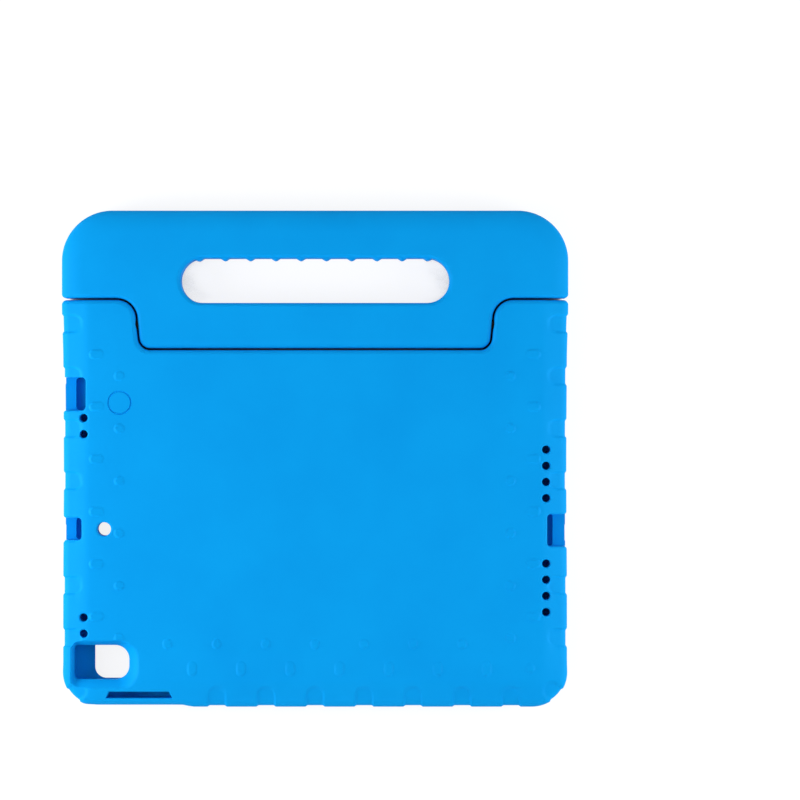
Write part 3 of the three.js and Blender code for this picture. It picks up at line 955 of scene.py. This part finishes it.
# %% The handle
handle_foam = cut("handle_foam", handle_slab(), [
    ("INTERSECT", [seam_side(1, handle_edge_round, handle_skin)]),
    ("DIFFERENCE", [grip_shell()]),
    ("DIFFERENCE", [turned(PIN_HOLE, side) for side in (-1, 1)]),
])
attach(handle_foam, "folding_handle")
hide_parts("handle")

# %% [markdown]
# Moulded foam is matt and even, with a fine closed-cell grain that only shows close up. The colour varies
# very slightly, in clouds of a few centimetres and in specks the size of the cells.

# %% Foam
def principled(name):
    """A material with its nodes on, and its shader."""
    material = bpy.data.materials.new(name)
    material.use_nodes = True
    return material, material.node_tree, material.node_tree.nodes["Principled BSDF"]


def maths(tree, operation, *values):
    """The output of a Math node whose values are numbers or other nodes' outputs."""
    node = tree.nodes.new("ShaderNodeMath")
    node.operation = operation
    for socket, value in zip(node.inputs, values):
        if isinstance(value, (int, float)):
            socket.default_value = value
        else:
            tree.links.new(value, socket)
    return node.outputs[0]


def noise(tree, scale, detail, roughness=0.5):
    """A noise texture on Object coordinates, scale in cycles per metre."""
    place = tree.nodes.new("ShaderNodeTexCoord")
    texture = tree.nodes.new("ShaderNodeTexNoise")
    texture.inputs["Scale"].default_value = scale
    texture.inputs["Detail"].default_value = detail
    texture.inputs["Roughness"].default_value = roughness
    tree.links.new(place.outputs["Object"], texture.inputs["Vector"])
    return texture.outputs["Fac"]


def ramp_between(tree, factor, stops):
    """Colours at positions along a factor."""
    ramp = tree.nodes.new("ShaderNodeValToRGB")
    elements = ramp.color_ramp.elements
    for element, (position, colour) in zip(elements, stops):
        element.position = position
        element.color = (*colour, 1)
    tree.links.new(factor, ramp.inputs["Fac"])
    return ramp.outputs["Color"]


def foam_material():
    """Azure foam: clouded colour, a cell grain as bump, and a little unevenness in the gloss."""
    material, tree, shader = principled("azure_foam")
    cloud = noise(tree, 30, 3)
    colour = ramp_between(tree, cloud, [
        (0.3, (0.0010, 0.322, 0.815)),
        (0.7, (0.0014, 0.344, 0.845)),
    ])
    tree.links.new(colour, shader.inputs["Base Color"])
    grain = noise(tree, 1500, 2, 0.6)
    swell = noise(tree, 160, 2)
    both = maths(tree, "MULTIPLY_ADD", swell, 1.5, grain)
    bump = tree.nodes.new("ShaderNodeBump")
    bump.inputs["Strength"].default_value = 0.25
    bump.inputs["Distance"].default_value = 0.00008
    tree.links.new(both, bump.inputs["Height"])
    tree.links.new(bump.outputs["Normal"], shader.inputs["Normal"])
    gloss = tree.nodes.new("ShaderNodeMapRange")
    gloss.inputs["To Min"].default_value = 0.52
    gloss.inputs["To Max"].default_value = 0.64
    tree.links.new(grain, gloss.inputs["Value"])
    tree.links.new(gloss.outputs["Result"], shader.inputs["Roughness"])
    shader.inputs["Specular IOR Level"].default_value = 0.04
    return material


def finish_with(obj, material):
    """One material on the whole piece."""
    mesh = obj.data
    mesh.materials.clear()
    mesh.materials.append(material)
    mesh.polygons.foreach_set("material_index", np.zeros(len(mesh.polygons), np.int32))


foam = foam_material()
finish_with(case_foam, foam)
finish_with(handle_foam, foam)

# %% [markdown]
# The hinge parts are plain moulded nylon: black and dull, with the faint mottling of a mould. A glossier
# pin would catch the light inside the seam, which is dark all along in the photograph.

# %% Nylon
def nylon_material():
    """Black nylon with a faint mottling in colour and gloss."""
    material, tree, shader = principled("hinge_nylon")
    mottle = noise(tree, 400, 3)
    colour = ramp_between(tree, mottle, [(0.35, (0.008, 0.010, 0.014)), (0.65, (0.015, 0.018, 0.024))])
    tree.links.new(colour, shader.inputs["Base Color"])
    gloss = tree.nodes.new("ShaderNodeMapRange")
    gloss.inputs["To Min"].default_value = 0.32
    gloss.inputs["To Max"].default_value = 0.45
    tree.links.new(mottle, gloss.inputs["Value"])
    tree.links.new(gloss.outputs["Result"], shader.inputs["Roughness"])
    shader.inputs["Specular IOR Level"].default_value = 0.08
    return material


nylon = nylon_material()
for name in ("hinge_pin_left", "hinge_pin_right", "hinge_cup_left", "hinge_cup_right"):
    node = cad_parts[name]
    node.data.materials.clear()
    node.data.materials.append(nylon)

# %% [markdown]
# The case lies on a white floor that runs out of sight. To the camera the floor is nearly white by its
# own light, and the rest of its brightness comes from the lamps, so the object's shadow still shows. That
# light fades where the floor is walled in, a painted shade that keeps the seam dark. Below the tablet bay
# it doesn't fade: there the full glow is painted light, standing in for the white tablet that lies behind
# the camera cut-out and the microphone hole.

# %% Floor and world
floor_reach = 30000
floor_height = -0.05
floor_glow = 0.86
shade_distance = 30


def under_bay(tree):
    """1 on the floor below the tablet bay and 0 elsewhere, from the floor's own coordinates."""
    place = tree.nodes.new("ShaderNodeTexCoord")
    apart = tree.nodes.new("ShaderNodeSeparateXYZ")
    tree.links.new(place.outputs["Object"], apart.inputs[0])
    ranges = ((0, bay_end_x), ((bay_bottom_y + bay_top_y) / 2, bay_width / 2))
    inside = [
        maths(tree, "COMPARE", apart.outputs[number], middle * MM, half * MM)
        for number, (middle, half) in enumerate(ranges)
    ]
    return maths(tree, "MULTIPLY", *inside)


def floor():
    """A large flat square just under the case, white to the camera but still taking shadows."""
    corners = floor_reach * np.array([(-1, -1), (1, -1), (1, 1), (-1, 1)])
    obj = mesh_of("floor", [(level(corners, floor_height), [[0, 1, 2, 3]])])
    material, tree, shader = principled("white_floor")
    shader.inputs["Roughness"].default_value = 0.9
    shader.inputs["Specular IOR Level"].default_value = 0.0
    shader.inputs["Emission Color"].default_value = (1, 1, 1, 1)
    path = tree.nodes.new("ShaderNodeLightPath")
    seen = maths(tree, "MAXIMUM", path.outputs["Is Camera Ray"], path.outputs["Is Glossy Ray"])
    seen = maths(tree, "MAXIMUM", seen, path.outputs["Is Transmission Ray"])
    openness = tree.nodes.new("ShaderNodeAmbientOcclusion")
    openness.samples = 16
    openness.inputs["Distance"].default_value = shade_distance * MM
    # Painted shade: the floor's glow falls off with ambient occlusion, so narrow gaps such as the seam, the
    # slots and the holes go dark
    painted_shade_ramp = tree.nodes.new("ShaderNodeMapRange")
    painted_shade_ramp.inputs["From Min"].default_value = 0.12
    painted_shade_ramp.inputs["From Max"].default_value = 0.26
    tree.links.new(openness.outputs["AO"], painted_shade_ramp.inputs["Value"])
    # Painted light: below the tablet bay the floor keeps its full glow, although the case walls it in there
    open_or_bay = maths(tree, "MAXIMUM", painted_shade_ramp.outputs["Result"], under_bay(tree))
    glow = maths(tree, "MULTIPLY", seen, maths(tree, "MULTIPLY", open_or_bay, floor_glow))
    tree.links.new(glow, shader.inputs["Emission Strength"])
    shade = tree.nodes.new("ShaderNodeMix")
    shade.data_type = "RGBA"
    shade.inputs["A"].default_value = (0.75, 0.75, 0.75, 1)
    shade.inputs["B"].default_value = (0.2, 0.2, 0.2, 1)
    tree.links.new(seen, shade.inputs["Factor"])
    tree.links.new(shade.outputs["Result"], shader.inputs["Base Color"])
    obj.data.materials.append(material)
    return obj


def surroundings():
    """A pale world: white to the camera, and a dim even fill for the object."""
    world = bpy.data.worlds.new("studio")
    bpy.context.scene.world = world
    world.use_nodes = True
    tree = world.node_tree
    ground = tree.nodes["Background"]
    ground.inputs["Color"].default_value = (1, 1, 1, 1)
    path = tree.nodes.new("ShaderNodeLightPath")
    level_of = tree.nodes.new("ShaderNodeMapRange")
    level_of.inputs["To Min"].default_value = 0.46
    level_of.inputs["To Max"].default_value = 1.0
    tree.links.new(path.outputs["Is Camera Ray"], level_of.inputs["Value"])
    tree.links.new(level_of.outputs["Result"], ground.inputs["Strength"])


floor()
surroundings()

# %% [markdown]
# Soft light comes from four panels round the case, mostly from the left and the right, with weaker ones
# at the near and the far end, and an even fill from the world lights the flat back. The panels are close,
# so the light falls off across the case, as it does in the photograph.

# %% Lamps
def panel(name, place, target, size, watts):
    """A rectangular area lamp at a place, turned to face a target; millimetres."""
    lamp = bpy.data.lights.new(name, "AREA")
    lamp.shape = "RECTANGLE"
    lamp.size = size[0] * MM
    lamp.size_y = size[1] * MM
    lamp.energy = watts
    obj = bpy.data.objects.new(name, lamp)
    bpy.context.scene.collection.objects.link(obj)
    place, target = Vector(place) * MM, Vector(target) * MM
    obj.location = place
    obj.rotation_mode = "QUATERNION"
    obj.rotation_quaternion = (target - place).to_track_quat("-Z", "Y")
    return obj


panel("left", (-620, -60, 220), (-60, 0, 10), (250, 700), 4.6)
panel("right", (650, -60, 200), (60, 0, 10), (250, 700), 3.3)
panel("near", (0, -650, 240), (0, -60, 10), (800, 250), 0.8)
panel("far", (0, 700, 240), (0, 80, 10), (800, 250), 0.6)

# %% [markdown]
# The photograph looks straight down on the case through a long lens. The picture is 800 pixels wide, and
# at the case one millimetre is 1.83 pixels, which gives the camera's height for a chosen focal length.
# The case stands left of the picture's middle, so the camera stands to the right of the case's.

# %% Camera
picture_pixels = 800
pixels_per_mm = 1.83
case_middle_px = (315.3, 458.5)
focal_length = 200
sensor_width = 36
middle = picture_pixels / 2
camera_x = (middle - case_middle_px[0]) / pixels_per_mm
camera_y = (case_middle_px[1] - middle) / pixels_per_mm
camera_height = picture_pixels / pixels_per_mm * focal_length / sensor_width + 12
lens = bpy.data.cameras.new("camera")
lens.lens = focal_length
lens.sensor_width = sensor_width
lens.clip_end = 100
camera = bpy.data.objects.new("camera", lens)
bpy.context.scene.collection.objects.link(camera)
camera.location = (camera_x * MM, camera_y * MM, camera_height * MM)
bpy.context.scene.camera = camera
bpy.context.scene.view_settings.view_transform = "Standard"
print("Camera above", round(camera_x, 1), round(camera_y, 1), "at", round(camera_height), "mm")
